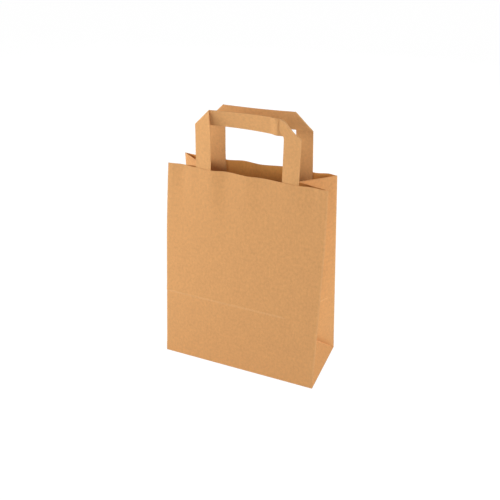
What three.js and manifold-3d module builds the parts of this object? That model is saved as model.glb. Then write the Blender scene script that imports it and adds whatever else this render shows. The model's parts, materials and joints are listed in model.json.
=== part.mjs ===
// Paper carrier bag: one folded and glued sheet with a block bottom, two flat paper handles
// folded from strip, and the two paper patches that hold the handle ends inside the panels.
// Millimetres, +Z up. X runs along the wide panels and Y from the front panel to the back one.
// The origin is the middle of the base, on the surface that the bag stands on.

import * as THREE from "three";
import { mergeVertices } from "three/addons/utils/BufferGeometryUtils.js";
import Module from "manifold-3d";

// Bag sheet
const BAG_WIDTH = 220;
const BAG_DEPTH = 100;
const PANEL_HEIGHT = 280;
const PAPER = 0.3;
const CREASE_HEIGHT = 97;
const CREASE_RIDGE = 0.7;
const CREASE_REACH = 16;
const FLAP_OVERLAP = 14;
const SEAM_WIDTH = 15;
const SEAM_FROM_EDGE = 24;

// Mouth, as the opened bag stands
const FRONT_DRAWN_IN = 5;
const BACK_DRAWN_IN = 12;
const MOUTH_DEPTH_LEFT = 40;
const MOUTH_DEPTH_RIGHT = 48;
const MOUTH_SET_BACK_LEFT = -2.5;
const MOUTH_SET_BACK_RIGHT = -0.5;
const WAVE_DEPTH = 110;
const WAVE_POWER = 1.7;

// Waves of the two mouth edges: place along the panel, and how far the paper stands out there
const FRONT_WAVES = [
  [-88, -2.8], [-72, -0.4], [-47, 2], [-26, -3], [2, 0.4], [22, -2.2], [66, 1.6], [88, -1.2], [100, 0.8],
];
const BACK_WAVES = [
  [-88, -2], [-58, -1.4], [-42, -2.4], [-21, 2.4], [4, -1.4], [34, 3.4], [60, 2.4], [77, -1.2], [92, 2.6],
];

// Handle strip and its two mitred corners
const STRIP_WIDTH = 22;
const STRIP_THICKNESS = 0.6;
const HANDLE_WIDTH = 138.5;
const HANDLE_RISE = 79.2;
const HANDLE_TAIL = 60;
const FOLD_GAP = 1.1;
const NECK_BEND = 14;
const FAN_LENGTH = 6;

// turn: how far a leg's inner edge is turned out at the top. skew and drop: how far the top of a
// leg has gone to the right and down. curl: how far the right corner's flap is pulled inwards.
const FRONT_HANDLE = {
  side: -1, shift: 1, lean: 1.8, bowLow: 8, bowHigh: 4, curl: 6,
  left: { turn: 6, skew: 1.5, drop: 0 },
  right: { turn: -2, skew: 0.5, drop: 0.8 },
};
const BACK_HANDLE = {
  side: 1, shift: 4, lean: -8.5, bowLow: 4, bowHigh: 2, curl: 1,
  left: { turn: 0, skew: 1.5, drop: 1.8 },
  right: { turn: 2, skew: 0, drop: 0.4 },
};

// Patches over the handle ends
const PATCH_PAPER = 0.3;
const PATCH_MARGIN = 11;
const PATCH_TOP = 30;
const PATCH_HEIGHT = 42;
const PATCH_RAMP = 4;
const PATCH_EASE = 1;

const CLEARANCE = 0.3;

// How finely the sheets are divided
const PANEL_COLUMNS = 44;
const GUSSET_COLUMNS = 5;
const TRIANGLE_COLUMNS = 4;
const TRIANGLE_ROWS = 4;
const UPPER_ROWS = 8;
const STRIP_COLUMNS = 5;
const LEG_ROWS = 10;
const TAIL_ROWS = 6;
const FAN_ROWS = 4;
const BAR_ROWS = 14;
const PATCH_ROWS = 5;

const wasm = await Module();
wasm.setup();

const KRAFT = 0xd8a067;
const KRAFT_INSIDE = 0xc08a52;

// Sizes that follow from the ones above
const GUSSET_HALF = BAG_DEPTH / 2;
const MOUTH_DEPTH = (MOUTH_DEPTH_LEFT + MOUTH_DEPTH_RIGHT) / 2;
const PANEL_LEAN = (BAG_DEPTH - MOUTH_DEPTH) / 2 / PANEL_HEIGHT;
const RISE_PER_HEIGHT = Math.sqrt(1 - PANEL_LEAN ** 2);
const FLOOR_UNDERSIDE = 2 * PAPER;
const MOUTH_Z = FLOOR_UNDERSIDE + PANEL_HEIGHT * RISE_PER_HEIGHT;
const HANDLE_SEAT = PAPER + CLEARANCE + STRIP_THICKNESS / 2;

const mix = (a, b, t) => a + (b - a) * t;
const smooth = (t) => THREE.MathUtils.smoothstep(t, 0, 1);
const heightToZ = (h) => FLOOR_UNDERSIDE + h * RISE_PER_HEIGHT;
const mouthShare = (h) => Math.max(0, 1 - (PANEL_HEIGHT - h) / WAVE_DEPTH) ** WAVE_POWER;

// The curve through a mouth edge's wave points, as a function of x
function waveCurve(points, mouthWidth) {
  const ends = [[-mouthWidth / 2, 0], ...points, [mouthWidth / 2, 0]];
  return (x) => {
    const last = ends.findIndex(([place]) => place >= x);
    if (last <= 0) return 0;
    const [x0, y0] = ends[last - 1];
    const [x1, y1] = ends[last];
    return mix(y0, y1, smooth((x - x0) / (x1 - x0)));
  };
}

// A panel, its mouth edge drawn in by its waves
function mouthPanel(side, drawnIn, waves) {
  const mouthWidth = BAG_WIDTH - drawnIn;
  return { side, mouthWidth, wave: waveCurve(waves, mouthWidth) };
}

const PANELS = {
  front: mouthPanel(-1, FRONT_DRAWN_IN, FRONT_WAVES),
  back: mouthPanel(1, BACK_DRAWN_IN, BACK_WAVES),
};

// How far a panel's straight mouth edge stands out from the bag's middle plane at x
function mouthReach(panel, x) {
  const across = x / panel.mouthWidth + 0.5;
  const depth = mix(MOUTH_DEPTH_LEFT, MOUTH_DEPTH_RIGHT, across);
  return depth / 2 + panel.side * mix(MOUTH_SET_BACK_LEFT, MOUTH_SET_BACK_RIGHT, across);
}

// Half the panel's width at a height: the waves near the mouth draw its edges in
function halfWidth(panel, h) {
  return mix(BAG_WIDTH / 2, panel.mouthWidth / 2, mouthShare(h));
}

// A panel's outer face, as its distance out from the bag's middle plane
function panelReach(panel, x, h) {
  const flat = mix(BAG_DEPTH / 2, mouthReach(panel, x), h / PANEL_HEIGHT);
  const ridge = CREASE_RIDGE * Math.max(0, 1 - Math.abs(h - CREASE_HEIGHT) / CREASE_REACH);
  return flat + panel.wave(x) * mouthShare(h) + ridge;
}

function panelPoint(panel, across, h) {
  const x = across * halfWidth(panel, h);
  return new THREE.Vector3(x, panel.side * panelReach(panel, x, h), heightToZ(h));
}

// A gusset's middle crease: each half of the gusset keeps its width, so the crease lies where
// both halves reach. Its points hang a little lower than the corners at the same paper height.
function gussetCrease(end, h) {
  const front = panelPoint(PANELS.front, end, h);
  const back = panelPoint(PANELS.back, end, h);
  const middle = front.clone().add(back).multiplyScalar(0.5);
  const reach = Math.sqrt(GUSSET_HALF ** 2 - CREASE_DROP ** 2);
  const inset = Math.sqrt(reach ** 2 - front.distanceToSquared(back) / 4);
  const along = back.clone().sub(front).normalize();
  const inward = new THREE.Vector3(-end * along.y, end * along.x, 0);
  return middle.addScaledVector(inward, inset).setZ(middle.z - CREASE_DROP);
}

// The base triangle leans in from the base edge, and its tip is the foot of the gusset's crease
const TIP_HALF_DEPTH = mix(BAG_DEPTH / 2, MOUTH_DEPTH / 2, GUSSET_HALF / PANEL_HEIGHT);
const TIP_Z = Math.sqrt(GUSSET_HALF ** 2 - (GUSSET_HALF ** 2 - TIP_HALF_DEPTH ** 2));
const CREASE_DROP = heightToZ(GUSSET_HALF) - FLOOR_UNDERSIDE - TIP_Z;

// The fold that bounds the gusset's half on the inside: the base triangle's slanting side, then the crease
function gussetInnerFold(end, panel, h) {
  if (h >= GUSSET_HALF) return gussetCrease(end, h);
  return panelPoint(panel, end, 0).lerp(gussetCrease(end, GUSSET_HALF), h / GUSSET_HALF);
}

// An open surface of triangles that share their vertices
class Surface {
  constructor() {
    this.points = [];
    this.raised = [];
    this.triangles = [];
    this.known = new Map();
  }

  vertex(point, raised = 0) {
    const key = point.toArray().map((v) => Math.round(v * 1e3)).join(" ") + (raised ? " raised" : "");
    if (!this.known.has(key)) {
      this.known.set(key, this.points.length);
      this.points.push(point);
      this.raised.push(raised);
    }
    return this.known.get(key);
  }

  // Rows of points, each a row of { point, raised } or of points
  grid(rows) {
    const ids = rows.map((row) => row.map((p) => (p.point ? this.vertex(p.point, p.raised) : this.vertex(p))));
    for (let i = 0; i + 1 < ids.length; i++) {
      for (let j = 0; j + 1 < ids[i].length; j++) {
        this.triangle(ids[i][j], ids[i][j + 1], ids[i + 1][j + 1]);
        this.triangle(ids[i][j], ids[i + 1][j + 1], ids[i + 1][j]);
      }
    }
    return this;
  }

  triangle(a, b, c) {
    if (a !== b && b !== c && c !== a) this.triangles.push([a, b, c]);
  }
}

// The way each vertex moves when every face round it moves out by one
function offsetDirections(surface) {
  const sums = surface.points.map(() => ({ m: new Array(6).fill(0), b: new THREE.Vector3() }));
  const corners = [new THREE.Vector3(), new THREE.Vector3(), new THREE.Vector3()];
  for (const ids of surface.triangles) {
    corners.forEach((corner, k) => corner.copy(surface.points[ids[k]]));
    const normal = new THREE.Triangle(...corners).getNormal(new THREE.Vector3());
    ids.forEach((id, k) => {
      const toNext = corners[(k + 1) % 3].clone().sub(corners[k]);
      const toLast = corners[(k + 2) % 3].clone().sub(corners[k]);
      const weight = toNext.angleTo(toLast);
      const { x, y, z } = normal;
      [x * x, y * y, z * z, x * y, x * z, y * z].forEach((v, n) => (sums[id].m[n] += weight * v));
      sums[id].b.addScaledVector(normal, weight);
    });
  }
  const steady = 1e-3;
  return sums.map(({ m: [xx, yy, zz, xy, xz, yz], b }) => {
    const matrix = new THREE.Matrix3(xx + steady, xy, xz, xy, yy + steady, yz, xz, yz, zz + steady);
    return b.clone().applyMatrix3(matrix.invert());
  });
}

// A closed sheet from an open surface: its outer face, its inner face and the cut edges between
function thicken(surface, outside, inside) {
  const directions = offsetDirections(surface);
  const count = surface.points.length;
  const outer = surface.points.map((p, i) =>
    p.clone().addScaledVector(directions[i], outside + surface.raised[i]));
  const inner = surface.points.map((p, i) => p.clone().addScaledVector(directions[i], -inside));
  const triangles = surface.triangles.flatMap(([a, b, c]) => [[a, b, c], [a + count, c + count, b + count]]);
  const edges = new Set(surface.triangles.flatMap(([a, b, c]) => [`${a} ${b}`, `${b} ${c}`, `${c} ${a}`]));
  for (const edge of edges) {
    const [a, b] = edge.split(" ").map(Number);
    if (edges.has(`${b} ${a}`)) continue;
    triangles.push([b, a, a + count], [b, a + count, b + count]);
  }
  return new THREE.BufferGeometry()
    .setFromPoints([...outer, ...inner])
    .setIndex(triangles.flat());
}

function toSolid(geometry) {
  const bare = new THREE.BufferGeometry()
    .setAttribute("position", geometry.getAttribute("position"))
    .setIndex(geometry.index);
  const merged = mergeVertices(bare, 1e-3);
  return new wasm.Manifold(new wasm.Mesh({
    numProp: 3,
    vertProperties: merged.attributes.position.array,
    triVerts: new Uint32Array(merged.index.array),
  }));
}

function toGeometry(solid) {
  const mesh = solid.getMesh();
  return new THREE.BufferGeometry()
    .setAttribute("position", new THREE.BufferAttribute(mesh.vertProperties, 3))
    .setIndex(new THREE.BufferAttribute(mesh.triVerts, 1));
}

const steps = (from, to, count) => Array.from({ length: count + 1 }, (_, i) => mix(from, to, i / count));

// Paper heights of the sheet's rows: the base triangle, the fold-flat crease, then up to the mouth
const LOWER_ROWS = steps(0, GUSSET_HALF, TRIANGLE_ROWS);
const CREASE_ROWS = [CREASE_HEIGHT - CREASE_REACH, CREASE_HEIGHT, CREASE_HEIGHT + CREASE_REACH];
const MOUTH_ROWS = steps(0, 1, UPPER_ROWS)
  .slice(1)
  .map((t) => mix(CREASE_HEIGHT + CREASE_REACH, PANEL_HEIGHT, 1 - (1 - t) ** 1.5));
const SHEET_ROWS = [...LOWER_ROWS, ...CREASE_ROWS, ...MOUTH_ROWS];

// Places of the panels' columns, from the left corner at -1 to the right one at 1
const ACROSS = steps(-1, 1, PANEL_COLUMNS);

// The back panel's glued lap: the outer end of the sheet starts with a step and sinks away past the lap
const SEAM_EDGE = -1 + SEAM_FROM_EDGE / (BAG_WIDTH / 2);
const SEAM_STEP = 0.2 / (BAG_WIDTH / 2);
const SEAM_END = SEAM_EDGE + SEAM_WIDTH / (BAG_WIDTH / 2);

function backColumns() {
  const plain = ACROSS.filter((a) => a < SEAM_EDGE - 0.01 || a > SEAM_END + 0.01);
  return [...plain, SEAM_EDGE, SEAM_EDGE + SEAM_STEP, SEAM_END].sort((a, b) => a - b);
}

function panelRows(panel, columns) {
  return SHEET_ROWS.map((h) => columns.map((across) => {
    const onLap = panel === PANELS.back && across > SEAM_EDGE && across < SEAM_END - SEAM_STEP;
    return { point: panelPoint(panel, across, h), raised: onLap && h > 0 ? PAPER : 0 };
  }));
}

function gussetHalfRows(end, panel) {
  return SHEET_ROWS.map((h) => {
    const corner = panelPoint(panel, end, h);
    const fold = gussetInnerFold(end, panel, h);
    return steps(0, 1, GUSSET_COLUMNS).map((t) => corner.clone().lerp(fold, t));
  });
}

function baseTriangleRows(end) {
  return LOWER_ROWS.map((h) => {
    const front = gussetInnerFold(end, PANELS.front, h);
    const back = gussetInnerFold(end, PANELS.back, h);
    return steps(0, 1, TRIANGLE_COLUMNS).map((t) => front.clone().lerp(back, t));
  });
}

// The floor's edge points are the panels' and triangles' own. The back edge's columns differ from
// the front's, so the floor is a strip of triangles between two rows at the middle.
function addFloor(surface, frontColumns, backColumnsList) {
  const sides = steps(-BAG_DEPTH / 2, BAG_DEPTH / 2, TRIANGLE_COLUMNS);
  const edge = [
    ...frontColumns.map((a) => new THREE.Vector2(a * BAG_WIDTH / 2, -BAG_DEPTH / 2)),
    ...sides.slice(1, -1).map((y) => new THREE.Vector2(BAG_WIDTH / 2, y)),
    ...backColumnsList.slice().reverse().map((a) => new THREE.Vector2(a * BAG_WIDTH / 2, BAG_DEPTH / 2)),
    ...sides.slice(1, -1).reverse().map((y) => new THREE.Vector2(-BAG_WIDTH / 2, y)),
  ];
  const ids = edge.map(({ x, y }) => surface.vertex(new THREE.Vector3(x, y, FLOOR_UNDERSIDE)));
  for (const [a, b, c] of THREE.ShapeUtils.triangulateShape(edge, [])) {
    surface.triangle(ids[a], ids[c], ids[b]);
  }
}

// A trapezoid bottom flap: from its panel's base edge in to its free edge, with slanting ends
function bottomFlap(side, pastMiddle, bottom) {
  const reach = BAG_DEPTH / 2 + pastMiddle;
  const long = BAG_WIDTH / 2 - PAPER;
  const short = BAG_WIDTH / 2 - reach;
  const outer = side * (BAG_DEPTH / 2 - PAPER);
  const free = -side * pastMiddle;
  const shape = new THREE.Shape([
    new THREE.Vector2(-long, outer),
    new THREE.Vector2(long, outer),
    new THREE.Vector2(short, free),
    new THREE.Vector2(-short, free),
  ]);
  const depth = FLOOR_UNDERSIDE + PAPER / 2 - bottom;
  return new THREE.ExtrudeGeometry(shape, { depth, bevelEnabled: false }).translate(0, 0, bottom);
}

function bagBody() {
  const back = backColumns();
  const surface = new Surface()
    .grid(panelRows(PANELS.front, ACROSS))
    .grid(panelRows(PANELS.back, back).map((row) => row.reverse()))
    .grid(gussetHalfRows(1, PANELS.front))
    .grid(gussetHalfRows(1, PANELS.back).map((row) => row.reverse()))
    .grid(baseTriangleRows(1))
    .grid(gussetHalfRows(-1, PANELS.back))
    .grid(gussetHalfRows(-1, PANELS.front).map((row) => row.reverse()))
    .grid(baseTriangleRows(-1).map((row) => row.reverse()));
  addFloor(surface, ACROSS, back);
  const sheet = toSolid(thicken(surface, 0, PAPER));
  const frontFlap = toSolid(mergeFlap(bottomFlap(-1, FLAP_OVERLAP / 2, 0)));
  const backFlap = toSolid(mergeFlap(bottomFlap(1, FLAP_OVERLAP / 2, PAPER)));
  return toGeometry(sheet.add(backFlap).add(frontFlap));
}

function mergeFlap(geometry) {
  geometry.deleteAttribute("normal");
  geometry.deleteAttribute("uv");
  return mergeVertices(geometry, 1e-3);
}

// How far out a handle's leg stands at x, at a height s over the mouth, before its corners spring
function legReach(handle, panel, x, s) {
  if (s <= 0) return panelReach(panel, x, PANEL_HEIGHT + s) - HANDLE_SEAT;
  const slope = Math.tan(THREE.MathUtils.degToRad(handle.lean));
  const bent = 1 - Math.min(s, NECK_BEND) / NECK_BEND;
  const neck = (-PANEL_LEAN - slope) * NECK_BEND / 2 * (1 - bent ** 2);
  const wave = panel.wave(x) * (1 - smooth(s / (HANDLE_RISE - STRIP_WIDTH)));
  return mouthReach(panel, x) + wave - HANDLE_SEAT + neck + slope * s;
}

function handlePoint(handle, panel, x, s, out, curl) {
  const { left, right } = handle;
  const across = THREE.MathUtils.clamp((x - handle.shift) / (HANDLE_WIDTH - 2 * STRIP_WIDTH) + 0.5, 0, 1);
  const share = smooth(s / (HANDLE_RISE - STRIP_WIDTH));
  const moved = x + mix(left.skew, right.skew, across) * share - curl;
  const lowered = s - mix(left.drop, right.drop, across) * share;
  const rise = s > 0 ? lowered * Math.cos(THREE.MathUtils.degToRad(handle.lean)) : s * RISE_PER_HEIGHT;
  return new THREE.Vector3(moved, handle.side * (legReach(handle, panel, x, s) + out), MOUTH_Z + rise);
}

// A flat handle: a strip that comes up one leg, is folded over behind it at 45 degrees into the
// bar, and is folded again the same way into the other leg. The bar lies on the bag's inner side.
function handleSurface(handle, panel) {
  const left = handle.shift - HANDLE_WIDTH / 2;
  const right = handle.shift + HANDLE_WIDTH / 2;
  const barLow = HANDLE_RISE - STRIP_WIDTH;
  const fromLeftFold = (x, s) => (x - left - (s - barLow)) / Math.SQRT2;
  const fromRightFold = (x, s) => (right - x - (s - barLow)) / Math.SQRT2;

  const turned = (leg, inwards, s) => leg.turn * inwards * Math.max(0, s) / HANDLE_RISE;
  const legOut = (x, s) => {
    const onLeft = x < handle.shift;
    const inwards = (onLeft ? x - left : right - x) / STRIP_WIDTH;
    return turned(onLeft ? handle.left : handle.right, inwards, s);
  };
  const barOut = (x, s) => {
    const near = Math.max(0, fromLeftFold(x, s));
    const far = Math.max(0, fromRightFold(x, s));
    const along = near / (near + far);
    const up = (s - barLow) / STRIP_WIDTH;
    const ends = mix(turned(handle.left, up, s), turned(handle.right, up, s), along);
    return ends - FOLD_GAP - mix(handle.bowLow, handle.bowHigh, up) * Math.sin(Math.PI * along);
  };

  const row = (x0, s0, x1, s1, out, curl = () => 0) => steps(0, 1, STRIP_COLUMNS).map((t) => {
    const x = mix(x0, x1, t);
    const s = mix(s0, s1, t);
    return handlePoint(handle, panel, x, s, out(x, s), curl(t));
  });
  const curlOf = (outerX, share, sharpness) => {
    const pull = outerX === right ? handle.curl * share : 0;
    return (t) => pull * mix(smooth(t / 0.4), t ** sharpness, 0.65);
  };
  const legRow = (outerX, innerX, s) => row(outerX, s, innerX, s, legOut);
  const legFan = (outerX, innerX, t) => {
    const start = barLow - FAN_LENGTH;
    const curl = curlOf(outerX, smooth((t - 0.18) / 0.35), mix(3, 16, t));
    return row(outerX, mix(start, barLow, t), innerX, mix(start, HANDLE_RISE, t), legOut, curl);
  };
  const barFan = (outerX, innerX, t) => {
    const flat = innerX + Math.sign(innerX - outerX) * FAN_LENGTH;
    return row(mix(outerX, flat, t), barLow, mix(innerX, flat, t), HANDLE_RISE, barOut, curlOf(outerX, 1 - t, 16));
  };

  const legHeights = [
    ...steps(-HANDLE_TAIL, 0, TAIL_ROWS),
    ...steps(0, barLow - FAN_LENGTH, LEG_ROWS).slice(1),
  ];
  const leftIn = left + STRIP_WIDTH;
  const rightIn = right - STRIP_WIDTH;
  const fan = steps(0, 1, FAN_ROWS);
  const bar = steps(leftIn + FAN_LENGTH, rightIn - FAN_LENGTH, BAR_ROWS).slice(1, -1);
  return new Surface().grid([
    ...legHeights.map((s) => legRow(left, leftIn, s)),
    ...fan.slice(1).map((t) => legFan(left, leftIn, t)),
    ...fan.map((t) => barFan(left, leftIn, t)),
    ...bar.map((x) => row(x, barLow, x, HANDLE_RISE, barOut)),
    ...fan.slice().reverse().map((t) => barFan(right, rightIn, t)),
    ...fan.slice(1).reverse().map((t) => legFan(right, rightIn, t)),
    ...legHeights.slice().reverse().map((s) => legRow(right, rightIn, s)),
  ]);
}

// How far in from the panel's outer face the middle of a patch lies: it rests on the panel beside
// and between the legs, and steps up over each leg
function patchDepth(place) {
  const low = PAPER + CLEARANCE + PATCH_PAPER / 2;
  const fromMiddle = HANDLE_WIDTH / 2 - STRIP_WIDTH / 2;
  const beside = Math.abs(Math.abs(place) - fromMiddle) - STRIP_WIDTH / 2 - PATCH_EASE;
  const onLeg = 1 - THREE.MathUtils.clamp(beside / PATCH_RAMP, 0, 1);
  return low + onLeg * (STRIP_THICKNESS + CLEARANCE);
}

// A patch has the panel's own columns, and more where it steps up and down
function patchPlaces(handle) {
  const half = HANDLE_WIDTH / 2 + PATCH_MARGIN;
  const stepUp = [HANDLE_WIDTH / 2, HANDLE_WIDTH / 2 - STRIP_WIDTH].flatMap((edge, i) => {
    const way = i ? -1 : 1;
    return [edge + way * PATCH_EASE, edge + way * (PATCH_EASE + PATCH_RAMP)];
  });
  const own = [half, ...stepUp].flatMap((place) => [-place, place]);
  const shared = ACROSS.map((a) => a * BAG_WIDTH / 2 - handle.shift)
    .filter((place) => Math.abs(place) < half)
    .filter((place) => own.every((other) => Math.abs(other - place) > PATCH_EASE));
  return [...own, ...shared].sort((a, b) => a - b);
}

function patchSurface(handle, panel) {
  const heights = steps(PANEL_HEIGHT - PATCH_TOP - PATCH_HEIGHT, PANEL_HEIGHT - PATCH_TOP, PATCH_ROWS);
  const places = patchPlaces(handle);
  return new Surface().grid(heights.map((h) => places.map((place) => {
    const x = handle.shift + place;
    return new THREE.Vector3(x, panel.side * (panelReach(panel, x, h) - patchDepth(place)), heightToZ(h));
  })));
}

function paperMesh(name, geometry, color, roughness) {
  geometry.computeVertexNormals();
  const material = new THREE.MeshStandardMaterial({ color, roughness, metalness: 0 });
  const mesh = new THREE.Mesh(geometry, material);
  mesh.name = name;
  return mesh;
}

function handleGroup(name, handle, panel) {
  const group = new THREE.Group();
  const strip = thicken(handleSurface(handle, panel), STRIP_THICKNESS / 2, STRIP_THICKNESS / 2);
  const patch = thicken(patchSurface(handle, panel), PATCH_PAPER / 2, PATCH_PAPER / 2);
  group.add(paperMesh(name, strip, KRAFT, 0.85));
  group.add(paperMesh(`${name}_patch`, patch, KRAFT_INSIDE, 0.9));
  return group;
}

const bag = new THREE.Group();
bag.add(paperMesh("bag_body", bagBody(), KRAFT, 0.85));
bag.add(handleGroup("front_handle", FRONT_HANDLE, PANELS.front));
bag.add(handleGroup("back_handle", BACK_HANDLE, PANELS.back));

export default bag;
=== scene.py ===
"""Paper carrier bag: the finished look of a block-bottom kraft bag with two flat paper handles."""

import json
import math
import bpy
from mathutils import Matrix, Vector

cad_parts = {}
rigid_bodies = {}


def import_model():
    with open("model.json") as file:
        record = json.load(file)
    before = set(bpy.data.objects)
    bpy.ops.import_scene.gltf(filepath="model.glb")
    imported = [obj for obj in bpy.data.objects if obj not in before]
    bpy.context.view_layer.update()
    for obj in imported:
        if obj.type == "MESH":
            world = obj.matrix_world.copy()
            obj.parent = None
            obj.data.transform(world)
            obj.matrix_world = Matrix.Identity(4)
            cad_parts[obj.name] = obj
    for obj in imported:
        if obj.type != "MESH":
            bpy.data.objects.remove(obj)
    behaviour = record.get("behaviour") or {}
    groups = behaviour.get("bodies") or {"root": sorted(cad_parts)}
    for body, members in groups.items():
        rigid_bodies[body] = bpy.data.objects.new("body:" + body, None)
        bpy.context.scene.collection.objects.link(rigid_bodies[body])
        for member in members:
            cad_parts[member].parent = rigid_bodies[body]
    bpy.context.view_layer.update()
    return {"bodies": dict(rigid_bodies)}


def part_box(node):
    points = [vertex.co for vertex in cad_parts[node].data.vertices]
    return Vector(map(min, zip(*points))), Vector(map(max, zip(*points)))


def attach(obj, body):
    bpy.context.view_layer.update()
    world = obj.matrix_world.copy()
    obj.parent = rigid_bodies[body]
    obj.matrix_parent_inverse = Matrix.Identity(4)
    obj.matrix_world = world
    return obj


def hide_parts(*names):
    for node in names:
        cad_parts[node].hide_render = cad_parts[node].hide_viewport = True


bl_info = {
    "name": "Paper Carrier Bag",
    "version": (1, 0, 0),
    "blender": (4, 5, 0),
    "location": "View3D > Sidebar > Carrier Bag",
    "description": "Models a block-bottom paper carrier bag with mitred flat handles",
    "category": "Add Mesh",
}

from functools import partial

import bmesh
import bpy
from bpy.props import FloatProperty, FloatVectorProperty, PointerProperty
from bpy.types import Operator, Panel, PropertyGroup
from mathutils import Matrix, Vector

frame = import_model()
BAG_LOW, BAG_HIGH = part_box("bag_body")
MM = 0.001

# Paper heights and reaches that the solids share with this script
PANEL_HEIGHT = 280 * MM
FLOOR_UNDERSIDE = 0.6 * MM
HANDLE_TAIL = 60 * MM
CLEARANCE = 0.3 * MM
WAVE_DEPTH = 110 * MM
WAVE_POWER = 1.7

# Waves of the mouth edges: place along the panel and how far the paper stands out there, in millimetres
FRONT_WAVES = [
    (-88, -2.8), (-72, -0.4), (-47, 2), (-26, -3), (2, 0.4), (22, -2.2), (66, 1.6), (88, -1.2), (100, 0.8)
]
BACK_WAVES = [
    (-88, -2), (-58, -1.4), (-42, -2.4), (-21, 2.4), (4, -1.4), (34, 3.4), (60, 2.4), (77, -1.2), (92, 2.6)
]

# How far from a fold or a glued end the paper is held flat
HELD_BY_SIDE = 26 * MM
HELD_BY_BASE = 24 * MM
HELD_BY_BASE_IN_GUSSET = 60 * MM
HELD_BY_GLUE = 70 * MM
GLUE_FADE = 40 * MM

# Where each part begins along the flat sheet, for its fibres
RIGHT_START = 0.22
RIGHT_BACK_START = 0.62
BACK_START = 0.32
LEFT_START = 0.70
LEFT_FRONT_START = 0.80

# The bottom flaps: how far they reach past the middle, and how high the upper one lies
FLAP_PAST_MIDDLE = 7 * MM
UPPER_FLAP = 0.3 * MM

# The patches: how far they reach past the legs and down from the mouth, and their step up over a leg
PATCH_PAST_LEGS = 11 * MM
PATCH_LOW = 72 * MM
PATCH_HIGH = 30 * MM
PATCH_STEP_GAP = 1 * MM
PATCH_STEP = 4 * MM

# The paper's look: broad mottling, fibres and their relief
MOTTLE = 0.13
FIBRE = 0.30
FIBRE_RELIEF = 0.08 * MM


def mix(a, b, t):
    return a + (b - a) * t


def smooth(t):
    t = min(1.0, max(0.0, t))
    return t * t * (3 - 2 * t)


def steps(first, last, count):
    return [mix(first, last, i / count) for i in range(count + 1)]


class BagProperties(PropertyGroup):
    paper: FloatProperty(
        name="Paper", description="Thickness of the bag's sheet and patches",
        default=0.3 * MM, unit="LENGTH"
    )
    crease_height: FloatProperty(
        name="Crease height", description="Height of the fold-flat crease round the bag",
        default=97 * MM, unit="LENGTH"
    )
    crease_ridge: FloatProperty(
        name="Crease ridge", description="How far the fold-flat crease stands out",
        default=0.55 * MM, unit="LENGTH"
    )
    fold_radius: FloatProperty(
        name="Fold radius", description="Rounding of the sheet's sharp folds",
        default=0.4 * MM, unit="LENGTH"
    )
    cockle: FloatProperty(
        name="Cockle", description="How uneven the loose stretches of paper are",
        default=0.35 * MM, unit="LENGTH"
    )
    cockle_size: FloatProperty(
        name="Cockle size", description="Width of one uneven place in the paper",
        default=38 * MM, unit="LENGTH"
    )
    strip_width: FloatProperty(
        name="Strip width", description="Width of the handle strip", default=22 * MM, unit="LENGTH"
    )
    strip_thickness: FloatProperty(
        name="Strip thickness", description="Thickness of the folded handle strip",
        default=0.6 * MM, unit="LENGTH"
    )
    kraft: FloatVectorProperty(
        name="Kraft", description="Colour of the bag's sheet",
        subtype="COLOR", default=(0.660, 0.335, 0.124)
    )
    kraft_strip: FloatVectorProperty(
        name="Strip", description="Colour of the handle strips",
        subtype="COLOR", default=(0.685, 0.355, 0.134)
    )
    # Painted warm glow: the inner side is coloured brighter and more orange than the outside, standing in
    # for light that bounces inside the bag and shines through the paper.
    kraft_inside_glow: FloatVectorProperty(
        name="Inside", description="Colour of the sheet's inner side",
        subtype="COLOR", default=(0.770, 0.360, 0.092)
    )
    # Painted highlight mixed with wear: the paler colour laid on the rounded folds is partly scuffed kraft
    # and partly stands in for the light that catches the fold edges.
    kraft_fold_wear_and_highlight: FloatVectorProperty(
        name="Worn fold", description="Colour of kraft where a fold is rubbed",
        subtype="COLOR", default=(0.76, 0.44, 0.20)
    )
    floor: FloatVectorProperty(
        name="Floor", description="Colour of the floor", subtype="COLOR", default=(0.86, 0.86, 0.86)
    )


class MouthPanel:
    """A wide panel: which side it is on and how its mouth edge lies."""

    def __init__(self, side, drawn_in, waves, crease_left=1.0, crease_right=1.0):
        self.side = side
        self.crease_left, self.crease_right = crease_left, crease_right
        self.mouth_width = BAG_HIGH.x - BAG_LOW.x - drawn_in
        ends = [(-self.mouth_width / 2 / MM, 0), *waves, (self.mouth_width / 2 / MM, 0)]
        self.waves = [(x * MM, out * MM) for x, out in ends]

    def wave(self, x):
        for (x0, out0), (x1, out1) in zip(self.waves, self.waves[1:]):
            if x0 <= x <= x1:
                return mix(out0, out1, smooth((x - x0) / (x1 - x0)))
        return 0.0


FRONT = MouthPanel(-1, 5 * MM, FRONT_WAVES, crease_left=1.1, crease_right=0.35)
BACK = MouthPanel(1, 12 * MM, BACK_WAVES)


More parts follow.
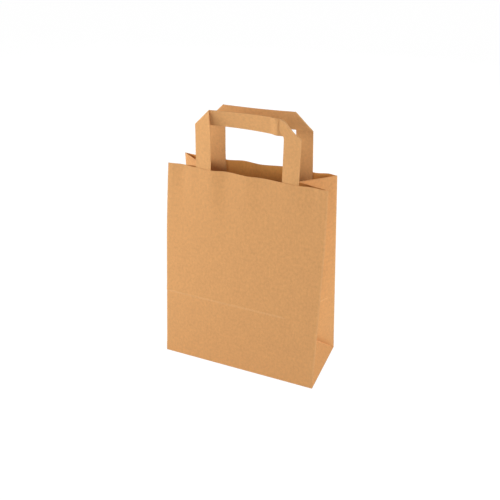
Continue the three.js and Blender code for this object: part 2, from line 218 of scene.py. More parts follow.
class BagShape:
    """The folded sheet's surfaces, as functions of place along a panel and of paper height."""

    mouth_depth = (40 * MM, 48 * MM)
    mouth_set_back = (-2.5 * MM, -0.5 * MM)
    base_recess = 7 * MM
    recess_height = 66 * MM
    crease_reach = 9 * MM
    crease_edge = 0.16
    crease_dip = 0.6

    def __init__(self, props):
        self.props = props
        self.width = BAG_HIGH.x - BAG_LOW.x
        self.depth = BAG_HIGH.y - BAG_LOW.y
        self.gusset_half = self.depth / 2
        mouth_depth = sum(self.mouth_depth) / 2
        self.lean = (self.depth - mouth_depth) / 2 / PANEL_HEIGHT
        self.rise = math.sqrt(1 - self.lean**2)
        self.mouth_z = FLOOR_UNDERSIDE + PANEL_HEIGHT * self.rise
        tip_depth = mix(self.depth / 2, mouth_depth / 2, self.gusset_half / PANEL_HEIGHT)
        self.crease_drop = self.gusset_half * self.rise - tip_depth

    def z(self, h):
        return FLOOR_UNDERSIDE + h * self.rise

    def ridge(self, h):
        """The fold-flat crease: the sheet stands out above it and drops in just below it."""
        away = (h - self.props.crease_height) / self.crease_reach
        if away < -self.crease_edge:
            return -self.props.crease_ridge * self.crease_dip * max(0.0, 1 + away)
        top = max(0.0, 1 - away) if away > 0 else 1 + away / self.crease_edge * (1 + self.crease_dip)
        return self.props.crease_ridge * top

    def recess(self, end, h):
        """How far the fold over a base triangle has sunk in."""
        deep = self.base_recess * math.sin(math.pi * min(1.0, h / self.recess_height))
        return Vector((-end * deep, 0, 0))

    def mouth_share(self, h):
        return max(0.0, 1 - (PANEL_HEIGHT - h) / WAVE_DEPTH) ** WAVE_POWER

    def mouth_reach(self, panel, x):
        across = x / panel.mouth_width + 0.5
        return mix(*self.mouth_depth, across) / 2 + panel.side * mix(*self.mouth_set_back, across)

    def panel_reach(self, panel, x, h):
        flat = mix(self.depth / 2, self.mouth_reach(panel, x), h / PANEL_HEIGHT)
        ridge = self.ridge(h) * mix(panel.crease_left, panel.crease_right, x / self.width + 0.5)
        return flat + panel.wave(x) * self.mouth_share(h) + ridge

    def panel_point(self, panel, across, h):
        share = h / PANEL_HEIGHT if panel is BACK else self.mouth_share(h)
        half = mix(self.width / 2, panel.mouth_width / 2, share)
        x = across * half
        return Vector((x, panel.side * self.panel_reach(panel, x, h), self.z(h)))

    def gusset_crease(self, end, h):
        front = self.panel_point(FRONT, end, h)
        back = self.panel_point(BACK, end, h)
        middle = (front + back) / 2
        inset = math.sqrt(self.gusset_half**2 - self.crease_drop**2 - (back - front).length_squared / 4)
        along = (back - front).normalized()
        inward = Vector((-end * along.y, end * along.x, 0))
        point = middle + inward * inset
        point.z = middle.z - self.crease_drop
        return point

    def inner_fold(self, end, panel, h):
        if h >= self.gusset_half:
            return self.gusset_crease(end, h)
        corner = self.panel_point(panel, end, 0)
        return corner.lerp(self.gusset_crease(end, self.gusset_half), h / self.gusset_half)


class Spot:
    """A grid point: its place, its place on the flat sheet, and how loosely the paper lies there."""

    def __init__(self, place, u, v, loose=0.0, raised=0.0):
        self.place = place
        self.uv = (u, v)
        self.loose = loose
        self.raised = raised


class FoldedSheet:
    """An open surface, built from grids whose edge points coincide."""

    def __init__(self):
        self.spots = []
        self.known = {}
        self.faces = []
        self.face_uvs = []

    def index(self, spot):
        key = tuple(round(c / (0.01 * MM)) for c in spot.place) + (spot.raised > 0,)
        if key not in self.known:
            self.known[key] = len(self.spots)
            self.spots.append(spot)
        return self.known[key]

    def grid(self, rows):
        for low, high in zip(rows, rows[1:]):
            for j in range(len(low) - 1):
                self.face([low[j], low[j + 1], high[j + 1], high[j]])

    def face(self, spots):
        ids, uvs = [], []
        for spot in spots:
            i = self.index(spot)
            if i not in ids:
                ids.append(i)
                uvs.append(spot.uv)
        if len(ids) > 2:
            self.faces.append(ids)
            self.face_uvs.append(uvs)

    def build(self, name, fold_radius):
        """The mesh object: sharp folds rounded, with the attributes that its tree and material read."""
        bm = bmesh.new()
        loose = bm.verts.layers.float.new("loose")
        fold = bm.verts.layers.float.new("fold")
        uv = bm.loops.layers.uv.new("sheet")
        verts = [bm.verts.new(s.place) for s in self.spots]
        for vert, spot in zip(verts, self.spots):
            vert[loose] = spot.loose
        for ids, uvs in zip(self.faces, self.face_uvs):
            face = bm.faces.new([verts[i] for i in ids])
            for loop, place in zip(face.loops, uvs):
                loop[uv].uv = place
        bm.normal_update()
        raise_lap(bm, verts, self.spots)
        round_folds(bm, fold, fold_radius)
        mesh = bpy.data.meshes.new(name)
        bm.to_mesh(mesh)
        bm.free()
        obj = bpy.data.objects.new(name, mesh)
        bpy.context.scene.collection.objects.link(obj)
        return obj


def raise_lap(bm, verts, spots):
    """Lifts the raised spots off the surface, where one end of the sheet lies on the other."""
    moves = [(v, v.normal * s.raised) for v, s in zip(verts, spots) if s.raised]
    for vert, move in moves:
        vert.co += move
    bm.normal_update()


def round_folds(bm, fold_layer, radius):
    """Bevels every sharp fold whose neighbours are wide enough, and marks it as a fold."""
    sharp = math.radians(20)
    shortest = 1.6 * radius
    folds = [
        e
        for e in bm.edges
        if len(e.link_faces) == 2
        and e.calc_face_angle() > sharp
        and all(side.calc_length() > shortest for f in e.link_faces for side in f.edges)
    ]
    made = bmesh.ops.bevel(
        bm,
        geom=folds,
        offset=radius,
        segments=3,
        profile=0.5,
        affect="EDGES",
        clamp_overlap=True,
        loop_slide=True,
    )
    # The fold mark carries the paler fold colour, part wear and part painted highlight.
    for face in made["faces"]:
        for vert in face.verts:
            vert[fold_layer] = 1.0


def add_sockets(tree, in_out, kind, *names):
    for name in names:
        tree.interface.new_socket(name, in_out=in_out, socket_type=f"NodeSocket{kind}")


def maths(tree, operation, *values):
    """A math node in the tree, fed with outputs or plain numbers."""
    made = tree.nodes.new("ShaderNodeMath")
    made.operation = operation
    for socket, value in zip(made.inputs, values):
        if hasattr(value, "is_output"):
            tree.links.new(value, socket)
        else:
            socket.default_value = value
    return made.outputs[0]


def paper_tree():
    """Geometry Nodes that turn an open folded surface into uneven paper with a thickness."""
    tree = bpy.data.node_groups.get("folded_paper")
    if tree:
        return tree
    tree = bpy.data.node_groups.new("folded_paper", "GeometryNodeTree")
    add_sockets(tree, "INPUT", "Geometry", "Geometry")
    add_sockets(tree, "INPUT", "Float", "Thickness", "Outward", "Cockle", "Cockle size")
    add_sockets(tree, "INPUT", "Material", "Material")
    add_sockets(tree, "OUTPUT", "Geometry", "Geometry")
    nodes, links = tree.nodes, tree.links
    calc = partial(maths, tree)

    def node(kind, **settings):
        made = nodes.new(kind)
        for key, value in settings.items():
            setattr(made, key, value)
        return made

    def along_normal(geometry, amount):
        scale = node("ShaderNodeVectorMath", operation="SCALE")
        links.new(node("GeometryNodeInputNormal").outputs[0], scale.inputs[0])
        links.new(amount, scale.inputs["Scale"])
        move = node("GeometryNodeSetPosition")
        links.new(geometry, move.inputs["Geometry"])
        links.new(scale.outputs[0], move.inputs["Offset"])
        return move.outputs[0]

    given = node("NodeGroupInput").outputs
    noise = node("ShaderNodeTexNoise", noise_dimensions="3D")
    noise.inputs["Detail"].default_value = 2.0
    noise.inputs["Roughness"].default_value = 0.45
    links.new(node("GeometryNodeInputPosition").outputs[0], noise.inputs["Vector"])
    links.new(calc("DIVIDE", 1.0, given["Cockle size"]), noise.inputs["Scale"])
    loose = node("GeometryNodeInputNamedAttribute", data_type="FLOAT")
    loose.inputs["Name"].default_value = "loose"
    uneven = calc("MULTIPLY", calc("SUBTRACT", noise.outputs[0], 0.5), 2.0)
    height = calc("MULTIPLY", calc("MULTIPLY", uneven, given["Cockle"]), loose.outputs["Attribute"])
    outer = along_normal(along_normal(given["Geometry"], height), given["Outward"])

    extrude = node("GeometryNodeExtrudeMesh", mode="FACES")
    extrude.inputs["Individual"].default_value = False
    links.new(outer, extrude.inputs["Mesh"])
    links.new(calc("MULTIPLY", given["Thickness"], -1.0), extrude.inputs["Offset Scale"])
    # The inner side is marked here so that the material can paint it with a warm glow that stands in for
    # light inside the bag.
    inner = node("GeometryNodeStoreNamedAttribute", data_type="FLOAT", domain="FACE")
    inner.inputs["Name"].default_value = "inner"
    inner.inputs["Value"].default_value = 1.0
    links.new(extrude.outputs["Mesh"], inner.inputs["Geometry"])
    links.new(extrude.outputs["Top"], inner.inputs["Selection"])
    flip = node("GeometryNodeFlipFaces")
    links.new(inner.outputs[0], flip.inputs["Mesh"])
    join = node("GeometryNodeJoinGeometry")
    links.new(flip.outputs[0], join.inputs[0])
    links.new(outer, join.inputs[0])
    merge = node("GeometryNodeMergeByDistance")
    merge.inputs["Distance"].default_value = 0.002 * MM
    links.new(join.outputs[0], merge.inputs["Geometry"])
    realize = node("GeometryNodeRealizeInstances")
    links.new(merge.outputs[0], realize.inputs[0])
    finish = node("GeometryNodeSetMaterial")
    links.new(realize.outputs[0], finish.inputs["Geometry"])
    links.new(given["Material"], finish.inputs["Material"])
    links.new(finish.outputs[0], node("NodeGroupOutput").inputs[0])
    return tree


def make_paper(obj, material, **values):
    """Runs the paper tree on an open surface and keeps the plain mesh that comes out."""
    tree = paper_tree()
    modifier = obj.modifiers.new("paper", "NODES")
    modifier.node_group = tree
    values["Material"] = material
    for item in tree.interface.items_tree:
        if item.in_out == "INPUT" and item.name in values:
            modifier[item.identifier] = values[item.name]
    graph = bpy.context.evaluated_depsgraph_get()
    mesh = bpy.data.meshes.new_from_object(obj.evaluated_get(graph))
    obj.modifiers.clear()
    old = obj.data
    obj.data = mesh
    bpy.data.meshes.remove(old)
    mesh.name = obj.name
    mesh.shade_smooth()
    mesh.set_sharp_from_angle(angle=math.radians(38))


def new_material(name):
    material = bpy.data.materials.new(name)
    material.use_nodes = True
    material.node_tree.nodes.clear()
    return material, material.node_tree.nodes, material.node_tree.links


def fibre_group():
    """Kraft fibres: colour, height and roughness of the paper, from the flat sheet's own coordinates; the
    colour also carries a painted warm glow on the inner side and a painted highlight on the folds.
    """
    group = bpy.data.node_groups.get("kraft_fibres")
    if group:
        return group
    group = bpy.data.node_groups.new("kraft_fibres", "ShaderNodeTree")
    add_sockets(group, "INPUT", "Vector", "Sheet")
    add_sockets(group, "INPUT", "Color", "Kraft", "Worn and highlit", "Inside")
    add_sockets(group, "INPUT", "Float", "Mottle", "Fibre", "Wear and highlight", "Inner side")
    add_sockets(group, "OUTPUT", "Color", "Color")
    add_sockets(group, "OUTPUT", "Float", "Height", "Roughness")
    nodes, links = group.nodes, group.links
    calc = partial(maths, group)
    given = nodes.new("NodeGroupInput").outputs
    out = nodes.new("NodeGroupOutput").inputs

    def noise(scale, stretch, detail, rough=0.5):
        mapping = nodes.new("ShaderNodeMapping")
        mapping.inputs["Scale"].default_value = stretch
        links.new(given["Sheet"], mapping.inputs["Vector"])
        made = nodes.new("ShaderNodeTexNoise")
        made.inputs["Scale"].default_value = scale
        made.inputs["Detail"].default_value = detail
        made.inputs["Roughness"].default_value = rough
        links.new(mapping.outputs[0], made.inputs["Vector"])
        return made.outputs[0]

    def ramp(value, low, high):
        made = nodes.new("ShaderNodeMapRange")
        made.inputs["From Min"].default_value = low
        made.inputs["From Max"].default_value = high
        links.new(value, made.inputs["Value"])
        return made.outputs[0]

    fibres = noise(900, (1.0, 0.22, 1.0), 3.0, 0.65)
    streaks = noise(430, (1.0, 0.12, 1.0), 2.0)
    formation = noise(310, (1.0, 0.8, 1.0), 2.0, 0.6)
    clouds = noise(60, (1.0, 0.8, 1.0), 3.0)
    specks = ramp(noise(520, (1.0, 0.5, 1.0), 1.0), 0.66, 0.74)

    def signed(value, amount):
        return calc("MULTIPLY", calc("SUBTRACT", value, 0.5), amount)

    lines = calc("ADD", signed(fibres, 0.5), signed(streaks, 0.3))
    fine = calc("MULTIPLY", calc("ADD", lines, signed(formation, 1.1)), given["Fibre"])
    broad = calc("MULTIPLY", signed(clouds, 0.6), given["Mottle"])
    tone = calc("ADD", calc("ADD", fine, broad), 1.0)
    darker = calc("SUBTRACT", tone, calc("MULTIPLY", calc("MULTIPLY", specks, 0.22), given["Fibre"]))

    def blend(factor, first, second):
        made = nodes.new("ShaderNodeMix")
        made.data_type = "RGBA"
        for name, value in (("Factor", factor), ("A", first), ("B", second)):
            links.new(value, made.inputs[name])
        return made.outputs["Result"]

    # The inner side takes the painted warm glow colour.
    with_inside_glow = blend(given["Inner side"], given["Kraft"], given["Inside"])
    # Folds get the paler colour, partly wear and partly a painted highlight along the fold edges.
    patchy = calc("MULTIPLY", given["Wear and highlight"], calc("ADD", 0.1, calc("MULTIPLY", fibres, 0.6)))
    rubbed_and_highlit = blend(patchy, with_inside_glow, given["Worn and highlit"])
    shade = nodes.new("ShaderNodeVectorMath")
    shade.operation = "SCALE"
    links.new(rubbed_and_highlit, shade.inputs[0])
    links.new(darker, shade.inputs["Scale"])
    links.new(shade.outputs[0], out["Color"])
    links.new(calc("ADD", fibres, calc("MULTIPLY", streaks, 0.5)), out["Height"])
    links.new(calc("ADD", 0.74, calc("MULTIPLY", fibres, 0.18)), out["Roughness"])
    return group


def kraft_material(name, kraft, inside, worn_and_highlit):
    """Uncoated brown kraft: fibres, mottling, paler folds that are partly wear and partly painted
    highlight, and an inner side in a painted warm glow.
    """
    material, nodes, links = new_material(name)
    sheet = nodes.new("ShaderNodeUVMap")
    sheet.uv_map = "sheet"
    fibres = nodes.new("ShaderNodeGroup")
    fibres.node_tree = fibre_group()
    # The inner-side colour is a painted warm glow for light bouncing inside the bag and shining through
    # the paper; the fold colour is partly wear and partly painted highlight.
    for part, colour in (("Kraft", kraft), ("Inside", inside), ("Worn and highlit", worn_and_highlit)):
        fibres.inputs[part].default_value = (*colour, 1)
    fibres.inputs["Mottle"].default_value = MOTTLE
    fibres.inputs["Fibre"].default_value = FIBRE
    links.new(sheet.outputs[0], fibres.inputs["Sheet"])
    for attribute, socket in (("fold", "Wear and highlight"), ("inner", "Inner side")):
        marked = nodes.new("ShaderNodeAttribute")
        marked.attribute_name = attribute
        links.new(marked.outputs["Fac"], fibres.inputs[socket])
    raised = nodes.new("ShaderNodeBump")
    raised.inputs["Strength"].default_value = 0.5
    raised.inputs["Distance"].default_value = FIBRE_RELIEF
    links.new(fibres.outputs["Height"], raised.inputs["Height"])
    paper = nodes.new("ShaderNodeBsdfPrincipled")
    paper.inputs["Specular IOR Level"].default_value = 0.28
    paper.inputs["Sheen Weight"].default_value = 0.05
    paper.inputs["Sheen Roughness"].default_value = 0.6
    links.new(fibres.outputs["Color"], paper.inputs["Base Color"])
    links.new(fibres.outputs["Roughness"], paper.inputs["Roughness"])
    links.new(raised.outputs[0], paper.inputs["Normal"])
    out = nodes.new("ShaderNodeOutputMaterial")
    links.new(paper.outputs[0], out.inputs["Surface"])
    return material


# Rows of paper height and columns across a panel, finer towards the mouth and at the folds
PANEL_COLUMNS = 84
GUSSET_COLUMNS = 18
SEAM_EDGE = 24 * MM
SEAM_WIDTH = 15 * MM
SEAM_STEP = 0.4 * MM
SEAM_SLACK = 0.1 * MM


def sheet_rows(bag):
    crease, reach = bag.props.crease_height, bag.crease_reach
    lower = steps(0, bag.gusset_half, 18)
    to_crease = steps(bag.gusset_half, crease - reach, 10)
    at_crease = [crease + d * reach for d in (-0.6, -0.3, -0.16, -0.08, 0, 0.12, 0.3, 0.6)]
    above = steps(crease + reach, PANEL_HEIGHT, 48)
    return lower + to_crease[1:] + at_crease + above


def looseness(bag, x, h):
    """Paper is loose away from the panel's folds and from the glued handle ends."""
    half = bag.width / 2
    from_side = smooth((half - abs(x)) / HELD_BY_SIDE)
    from_base = smooth(h / HELD_BY_BASE)
    from_glue = smooth((PANEL_HEIGHT - HELD_BY_GLUE - h) / GLUE_FADE)
    return from_side * from_base * from_glue


def panel_grid(bag, panel, columns, first_u):
    rows = []
    for h in sheet_rows(bag):
        row = []
        for across in columns:
            point = bag.panel_point(panel, across, h)
            u = first_u + (across + 1) * bag.width / 2
            lap = panel is BACK and on_lap(bag, across) and h > 0
            loose = looseness(bag, point.x, h)
            row.append(Spot(point, u, h, loose, bag.props.paper if lap else 0.0))
        rows.append(row)
    return rows


def on_lap(bag, across):
    from_edge = (across + 1) * bag.width / 2
    return SEAM_EDGE + SEAM_SLACK < from_edge < SEAM_EDGE + SEAM_WIDTH - SEAM_SLACK


def back_columns(bag):
    edge = -1 + 2 * SEAM_EDGE / bag.width
    step = SEAM_STEP / bag.width
    plain = [a for a in steps(-1, 1, PANEL_COLUMNS) if abs(a - edge) > 8 * step]
    return sorted([*plain, edge, edge + step])


def gusset_grid(bag, end, panel, first_u):
    rows = []
    for h in sheet_rows(bag):
        corner = bag.panel_point(panel, end, h)
        fold = bag.inner_fold(end, panel, h)
        width = min(h, bag.gusset_half)
        row = []
        for t in steps(0, 1, GUSSET_COLUMNS):
            loose = smooth(t * 4) * smooth((1 - t) * 4) * smooth(h / HELD_BY_BASE_IN_GUSSET)
            ridge = Vector((end * bag.ridge(h) * math.sin(math.pi * t), 0, 0))
            place = corner.lerp(fold, t) + bag.recess(end, h) * t**5 + ridge
            row.append(Spot(place, first_u + t * width, h, loose))
        rows.append(row)
    return rows


def triangle_grid(bag, end, first_u):
    rows = []
    for h in steps(0, bag.gusset_half, 18):
        sunk = bag.recess(end, h)
        front = bag.inner_fold(end, FRONT, h) + sunk
        back = bag.inner_fold(end, BACK, h) + sunk
        rows.append([
            Spot(front.lerp(back, t), first_u + mix(h, bag.depth - h, t), h)
            for t in steps(0, 1, 2 * GUSSET_COLUMNS)
        ])
    return rows


def add_floor(bag, sheet, front, back):
    """The floor inside the base: one row of the front panel's columns joined to one of the back's."""
    y = bag.depth / 2
    spots_front = [Spot(Vector((a * bag.width / 2, -y, FLOOR_UNDERSIDE)), a * 0.1, -0.05) for a in front]
    spots_back = [Spot(Vector((a * bag.width / 2, y, FLOOR_UNDERSIDE)), a * 0.1, 0.05) for a in back]
    side_steps = steps(-y, y, 2 * GUSSET_COLUMNS)[1:-1]
    right = [Spot(Vector((bag.width / 2, v, FLOOR_UNDERSIDE)), 0.1, v) for v in side_steps]
    left = [Spot(Vector((-bag.width / 2, v, FLOOR_UNDERSIDE)), -0.1, v) for v in reversed(side_steps)]
    loop = spots_front + right + spots_back[::-1] + left
    sheet.face(loop[::-1])


def reverse(rows):
    return [row[::-1] for row in rows]


def folded_sheet(bag):
    sheet = FoldedSheet()
    front = steps(-1, 1, PANEL_COLUMNS)
    back = back_columns(bag)
    sheet.grid(panel_grid(bag, FRONT, front, 0))
    sheet.grid(reverse(panel_grid(bag, BACK, back, BACK_START)))
    sheet.grid(gusset_grid(bag, 1, FRONT, RIGHT_START))
    sheet.grid(reverse(gusset_grid(bag, 1, BACK, RIGHT_BACK_START)))
    sheet.grid(triangle_grid(bag, 1, RIGHT_START))
    sheet.grid(gusset_grid(bag, -1, BACK, LEFT_START))
    sheet.grid(reverse(gusset_grid(bag, -1, FRONT, LEFT_FRONT_START)))
    sheet.grid(reverse(triangle_grid(bag, -1, LEFT_START)))
    add_floor(bag, sheet, front, back)
    return sheet


def flap_sheet(bag, side, level):
    """A trapezoid bottom flap, seen from below: its free edge lies past the middle."""
    reach = bag.depth / 2 + FLAP_PAST_MIDDLE
    sheet = FoldedSheet()
    rows = []
    for t in steps(0, 1, 24):
        y = side * (bag.depth / 2 - bag.props.paper - t * (reach - bag.props.paper))
        half = bag.width / 2 - bag.props.paper - t * reach
        rows.append([Spot(Vector((a * half, y, level)), a * half, y) for a in steps(-1, 1, 40)])
    sheet.grid(rows if side > 0 else reverse(rows))
    return sheet


class HandleShape:
    """A flat strip folded over at 45 degrees at both of its top corners."""

    neck_bend = 14 * MM
    fold_gap = 1.1 * MM
    fan = 6 * MM
    fold_rounding = 0.35 * MM
    bulge_reach = 16 * MM
    bulge_share = 0.35
    width = 138.5 * MM
    top = 79.2 * MM

    def __init__(self, bag, panel, middle, lean, bow, curl, turn, skew, drop):
        """Lean in degrees, the rest in millimetres.

        turn, skew and drop: how far the tops of the left and right legs have gone out, right and down.
        """
        self.bag = bag
        self.panel = panel
        self.middle = middle * MM
        self.left, self.right = self.middle - self.width / 2, self.middle + self.width / 2
        self.lean = math.radians(lean)
        pairs = (bow, turn, skew, drop)
        self.bow, self.turn, self.skew, self.drop = ([v * MM for v in pair] for pair in pairs)
        self.curl = curl * MM
        self.strip = bag.props.strip_width
        thick = bag.props.strip_thickness
        self.seat = bag.props.paper + CLEARANCE + thick / 2
        self.bar_low = self.top - self.strip

    def leg_reach(self, x, s):
        bag, panel = self.bag, self.panel
        if s <= 0:
            return bag.panel_reach(panel, x, PANEL_HEIGHT + s) - self.seat
        slope = math.tan(self.lean)
        bent = 1 - min(s, self.neck_bend) / self.neck_bend
        neck = (-bag.lean - slope) * self.neck_bend / 2 * (1 - bent**2)
        wave = panel.wave(x) * (1 - smooth(s / self.bar_low))
        return bag.mouth_reach(panel, x) + wave - self.seat + neck + slope * s

    def point(self, x, s, out, curl):
        across = min(1.0, max(0.0, (x - self.middle) / (self.width - 2 * self.strip) + 0.5))
        share = smooth(s / self.bar_low)
        moved = x + mix(*self.skew, across) * share - curl
        lowered = s - mix(*self.drop, across) * share
        rise = lowered * math.cos(self.lean) if s > 0 else s * self.bag.rise
        return Vector((moved, self.panel.side * (self.leg_reach(x, s) + out), self.bag.mouth_z + rise))

    def from_left(self, x, s):
        return max(0.0, (x - self.left - (s - self.bar_low)) / math.sqrt(2))

    def from_right(self, x, s):
        return max(0.0, (self.right - x - (s - self.bar_low)) / math.sqrt(2))

    def turned(self, leg, inwards, s):
        return self.turn[leg] * inwards * max(0.0, s) / self.top

    def leg_out(self, x, s):
        leg = 0 if x < self.middle else 1
        inwards = (x - self.left if leg == 0 else self.right - x) / self.strip
        return self.turned(leg, inwards, s)

    def bar_out(self, x, s):
        near, far = self.from_left(x, s), self.from_right(x, s)
        along = near / (near + far)
        up = (s - self.bar_low) / self.strip
        ends = mix(self.turned(0, up, s), self.turned(1, up, s), along)
        from_flap = (self.right - self.strip - self.curl / 2 - x) / self.bulge_reach
        bulge = self.curl * self.bulge_share * math.sin(math.pi * min(1.0, max(0.0, from_flap))) ** 2
        return ends - self.fold_gap - mix(*self.bow, up) * math.sin(math.pi * along) + bulge

    def row(self, outer, inner, length, out, curl=0.0, sharpness=1.0):
        spots = []
        for t in steps(0, 1, 16):
            x, s = mix(outer[0], inner[0], t), mix(outer[1], inner[1], t)
            pulled = curl * mix(smooth(t / 0.4), t**sharpness, 0.65) if outer[0] > self.middle else 0.0
            spots.append(Spot(self.point(x, s, out(x, s), pulled), t * self.strip, length))
        return spots

    def surface(self):
        low, top, fan, strip = self.bar_low, self.top, self.fan, self.strip
        heights = steps(-HANDLE_TAIL, 0, 30) + steps(0, low - fan, 26)[1:]
        folds = steps(0, 1, 8)
        bar_start, bar_end = 0.1, 0.26

        def leg_fan(outer, inner, t):
            start, end = (outer, mix(low - fan, low, t)), (inner, mix(low - fan, top, t))
            curl = self.curl * smooth((t - 0.18) / 0.35)
            return self.row(start, end, low + t * strip, self.leg_out, curl, mix(3, 16, t))

        def bar_fan(outer, inner, t, length):
            flat = inner + math.copysign(fan, inner - outer)
            start, end = (mix(outer, flat, t), low), (mix(inner, flat, t), top)
            return self.row(start, end, length, self.bar_out, self.curl * (1 - t), 16)

        left, right = self.left, self.right
        left_in, right_in = left + strip, right - strip
        rows = [self.row((left, s), (left_in, s), s, self.leg_out) for s in heights]
        rows += [leg_fan(left, left_in, t) for t in folds[1:]]
        rows += [bar_fan(left, left_in, t, bar_start + t * strip) for t in folds]
        rows += [
            self.row((x, low), (x, top), bar_start + x - left, self.bar_out)
            for x in steps(left_in + fan, right_in - fan, 36)[1:-1]
        ]
        rows += [bar_fan(right, right_in, t, bar_end - t * strip) for t in reversed(folds)]
        rows += [leg_fan(right, right_in, t) for t in reversed(folds[1:])]
        rows += [self.row((right, s), (right_in, s), s, self.leg_out) for s in reversed(heights)]
        sheet = FoldedSheet()
        sheet.grid(rows)
        return sheet

    def patch(self):
        """The paper patch over this handle's ends, stepping up over each leg."""
        half = self.width / 2 + PATCH_PAST_LEGS
        low = self.bag.props.paper * 1.5 + CLEARANCE
        leg_middle = (self.width - self.strip) / 2
        rows = []
        for h in steps(PANEL_HEIGHT - PATCH_LOW, PANEL_HEIGHT - PATCH_HIGH, 24):
            row = []
            for place in steps(-half, half, 128):
                beside = abs(abs(place) - leg_middle) - self.strip / 2 - PATCH_STEP_GAP
                lift = 1 - smooth(beside / PATCH_STEP)
                depth = low + lift * (self.bag.props.strip_thickness + CLEARANCE)
                x = self.middle + place
                reach = self.bag.panel_reach(self.panel, x, h) - depth
                row.append(Spot(Vector((x, self.panel.side * reach, self.bag.z(h))), place, h))
            rows.append(row)
        sheet = FoldedSheet()
        sheet.grid(rows if self.panel is FRONT else reverse(rows))
        return sheet


def handle_shapes(bag):
    front = HandleShape(
        bag, FRONT, middle=1.0, lean=1.8, bow=(8, 4), curl=6, turn=(6, -2), skew=(1.5, 0.5), drop=(0, 0.8)
    )
    back = HandleShape(
        bag, BACK, middle=3.4, lean=-8.5, bow=(4, 2), curl=1, turn=(0, 2), skew=(2.0, 0.3), drop=(1.8, 0.4)
    )
    return {"front": front, "back": back}


def settle(obj, slot, *nodes):
    """The finished piece rides on the bag's only body, for the CAD nodes that it stands for."""
    body = next(iter(frame["bodies"]))
    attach(obj, body)
    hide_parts(*nodes)


class CARRIER_OT_sheet(Operator):
    """Fold the bag's sheet: panels, gussets, base triangles and floor"""

    bl_idname = "carrier.sheet"
    bl_label = "Bag sheet"

    def execute(self, context):
        props = context.scene.carrier_bag
        bag = BagShape(props)
        obj = folded_sheet(bag).build("bag_sheet", props.fold_radius)
        # The sheet's inner side gets the painted warm glow; its folds get the paler colour with painted
        # highlight.
        material = kraft_material("kraft_sheet", props.kraft, props.kraft_inside_glow, props.kraft_fold_wear_and_highlight)
        values = {"Thickness": props.paper, "Outward": 0.0}
        values.update({"Cockle": props.cockle, "Cockle size": props.cockle_size})
        make_paper(obj, material, **values)
        settle(obj, "kraft_sheet", "bag_body")
        return {"FINISHED"}


class CARRIER_OT_bottom_flaps(Operator):
    """Lay the two overlapping bottom flaps under the base"""

    bl_idname = "carrier.bottom_flaps"
    bl_label = "Bottom flaps"

    def execute(self, context):
        props = context.scene.carrier_bag
        bag = BagShape(props)
        material = kraft_material("kraft_flaps", props.kraft, props.kraft, props.kraft_fold_wear_and_highlight)
        for name, side, level in (("front_flap", -1, 0.0), ("back_flap", 1, UPPER_FLAP)):
            obj = flap_sheet(bag, side, level).build(name, props.fold_radius)
            make_paper(obj, material, Thickness=props.paper, Outward=0.0, Cockle=0.0)
            settle(obj, "kraft_sheet", "bag_body")
        return {"FINISHED"}


class CARRIER_OT_handles(Operator):
    """Fold the two flat handles from their strips"""

    bl_idname = "carrier.handles"
    bl_label = "Handles"

    def execute(self, context):
        props = context.scene.carrier_bag
        bag = BagShape(props)
        material = kraft_material("kraft_strip", props.kraft_strip, props.kraft_strip, props.kraft_fold_wear_and_highlight)
        for name, shape in handle_shapes(bag).items():
            obj = shape.surface().build(f"{name}_strip", shape.fold_rounding)
            thick = props.strip_thickness
            make_paper(obj, material, Thickness=thick, Outward=thick / 2, Cockle=0.0)
            settle(obj, "kraft_strip", f"{name}_handle")
        return {"FINISHED"}


class CARRIER_OT_patches(Operator):
    """Glue the patches over the handle ends"""

    bl_idname = "carrier.patches"
    bl_label = "Patches"

    def execute(self, context):
        props = context.scene.carrier_bag
        bag = BagShape(props)
        # The patches lie inside the bag and are coloured all over with the inner side's painted warm glow.
        material = kraft_material("kraft_patch", props.kraft_inside_glow, props.kraft_inside_glow, props.kraft_fold_wear_and_highlight)
        for name, shape in handle_shapes(bag).items():
            obj = shape.patch().build(f"{name}_patch", props.fold_radius)
            make_paper(obj, material, Thickness=props.paper, Outward=props.paper / 2, Cockle=0.0)
            settle(obj, "kraft_patch", f"{name}_handle_patch")
        return {"FINISHED"}


# The camera, as it stood to the bag: its turn and height in degrees, its roll, and its place in metres
CAMERA_TURN = 22.50
CAMERA_HEIGHT = 29.17
CAMERA_ROLL = 0.48
CAMERA_DISTANCE = 0.9367
CAMERA_TARGET = Vector((-0.0023, 0.0, 0.1626))
CAMERA_LENS = 50.4

# The soft lamps: name, turn and height in degrees, distance and size in metres, and power
LAMPS = [
    ("key", -60, 15, 1.0, 0.6, 6.75),
    ("key_front", -25, 15, 1.0, 0.6, 1.4),
    ("fill", 80, 15, 1.0, 0.6, 6.2),
    ("rear", 190, 25, 1.6, 1.2, 9),
]

# The backdrop: what it lights the bag with, and how white the floor is seen
WORLD_LIGHT = 0.26
FLOOR_WHITE = 1.08
FLOOR_WHITE_SHARE = 0.9
FLOOR_REACH = 6.0
FLOOR_LEVEL = -0.4 * MM


def camera_axes(turn, height, roll):
    a, e, r = (math.radians(v) for v in (turn, height, roll))
    back = Vector((math.sin(a) * math.cos(e), -math.cos(a) * math.cos(e), math.sin(e)))
    right = Vector((math.cos(a), math.sin(a), 0))
    up = back.cross(right)
    return right * math.cos(r) + up * math.sin(r), up * math.cos(r) - right * math.sin(r), back


def add_camera():
    right, up, back = camera_axes(CAMERA_TURN, CAMERA_HEIGHT, CAMERA_ROLL)
    data = bpy.data.cameras.new("camera")
    data.lens = CAMERA_LENS
    data.sensor_width = 36
    data.clip_start = 0.01
    data.clip_end = 50
    camera = bpy.data.objects.new("camera", data)
    place = CAMERA_TARGET + back * CAMERA_DISTANCE
    camera.matrix_world = Matrix.Translation(place) @ Matrix((right, up, back)).transposed().to_4x4()
    bpy.context.scene.collection.objects.link(camera)
    bpy.context.scene.camera = camera


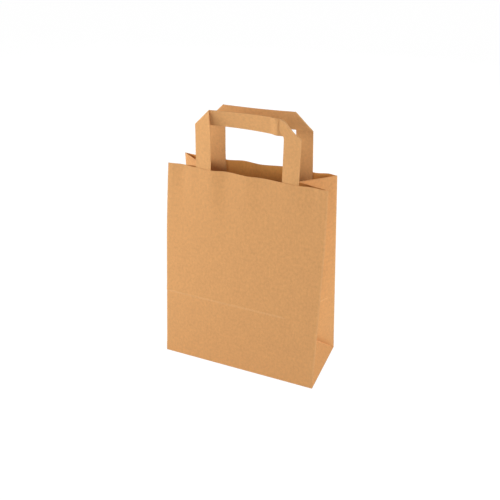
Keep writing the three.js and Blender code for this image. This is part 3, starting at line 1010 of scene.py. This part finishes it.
def add_lamp(name, turn, height, distance, size, power):
    right, up, back = camera_axes(turn, height, 0)
    data = bpy.data.lights.new(name, "AREA")
    data.shape = "DISK"
    data.size = size
    data.energy = power
    lamp = bpy.data.objects.new(name, data)
    place = CAMERA_TARGET + back * distance
    lamp.matrix_world = Matrix.Translation(place) @ Matrix((right, up, back)).transposed().to_4x4()
    bpy.context.scene.collection.objects.link(lamp)


def seen_directly(tree):
    """1 on rays that see the backdrop straight, in a gloss or through glass."""
    path = tree.nodes.new("ShaderNodeLightPath")
    total = path.outputs["Is Camera Ray"]
    for other in ("Is Glossy Ray", "Is Transmission Ray"):
        total = maths(tree, "MAXIMUM", total, path.outputs[other])
    return total


def finish_blend(tree, out_kind, factor, first, second):
    """Mixes two shaders and hands the mix to the tree's output."""
    blend = tree.nodes.new("ShaderNodeMixShader")
    for socket, value in zip(blend.inputs, (factor, first, second)):
        tree.links.new(value, socket)
    tree.links.new(blend.outputs[0], tree.nodes.new(out_kind).inputs["Surface"])


def floor_material(colour):
    """A pale floor that reads as the white sweep and keeps a soft shadow."""
    material, nodes, _ = new_material("floor")
    tree = material.node_tree
    plain = nodes.new("ShaderNodeBsdfDiffuse")
    plain.inputs["Color"].default_value = (*colour, 1)
    white = nodes.new("ShaderNodeEmission")
    white.inputs["Strength"].default_value = FLOOR_WHITE
    share = maths(tree, "MULTIPLY", seen_directly(tree), FLOOR_WHITE_SHARE)
    finish_blend(tree, "ShaderNodeOutputMaterial", share, plain.outputs[0], white.outputs[0])
    return material


def add_floor_plane(colour):
    mesh = bpy.data.meshes.new("floor")
    reach, low = FLOOR_REACH, FLOOR_LEVEL
    corners = [(-reach, -reach, low), (reach, -reach, low), (reach, reach, low), (-reach, reach, low)]
    mesh.from_pydata(corners, [], [(0, 1, 2, 3)])
    mesh.materials.append(floor_material(colour))
    floor = bpy.data.objects.new("floor", mesh)
    bpy.context.scene.collection.objects.link(floor)


def light_world():
    world = bpy.data.worlds.new("studio")
    bpy.context.scene.world = world
    world.use_nodes = True
    tree = world.node_tree
    tree.nodes.clear()
    lights = []
    for strength in (WORLD_LIGHT, 1.0):
        light = tree.nodes.new("ShaderNodeBackground")
        light.inputs["Color"].default_value = (1, 1, 1, 1)
        light.inputs["Strength"].default_value = strength
        lights.append(light.outputs[0])
    finish_blend(tree, "ShaderNodeOutputWorld", seen_directly(tree), *lights)


class CARRIER_OT_stage(Operator):
    """Set up the floor, the soft lamps and the camera"""

    bl_idname = "carrier.stage"
    bl_label = "Stage"

    def execute(self, context):
        context.scene.view_settings.view_transform = "Standard"
        add_camera()
        light_world()
        add_floor_plane(context.scene.carrier_bag.floor)
        for lamp in LAMPS:
            add_lamp(*lamp)
        return {"FINISHED"}


class CARRIER_PT_bag(Panel):
    """Lists the bag's pieces and sizes"""

    bl_idname = "CARRIER_PT_bag"
    bl_label = "Carrier bag"
    bl_space_type = "VIEW_3D"
    bl_region_type = "UI"
    bl_category = "Carrier Bag"

    def draw(self, context):
        props = context.scene.carrier_bag
        for name in props.bl_rna.properties.keys():
            if name not in ("rna_type", "name"):
                self.layout.prop(props, name)
        for operator in OPERATORS:
            self.layout.operator(operator.bl_idname)


OPERATORS = (
    CARRIER_OT_stage,
    CARRIER_OT_sheet,
    CARRIER_OT_bottom_flaps,
    CARRIER_OT_handles,
    CARRIER_OT_patches,
)
CLASSES = (BagProperties, *OPERATORS, CARRIER_PT_bag)


def register():
    for cls in CLASSES:
        bpy.utils.register_class(cls)
    bpy.types.Scene.carrier_bag = PointerProperty(type=BagProperties)


def unregister():
    del bpy.types.Scene.carrier_bag
    for cls in reversed(CLASSES):
        bpy.utils.unregister_class(cls)


def main():
    register()
    bpy.ops.carrier.stage()
    bpy.ops.carrier.sheet()
    bpy.ops.carrier.bottom_flaps()
    bpy.ops.carrier.handles()
    bpy.ops.carrier.patches()


if __name__ == "__main__":
    main()
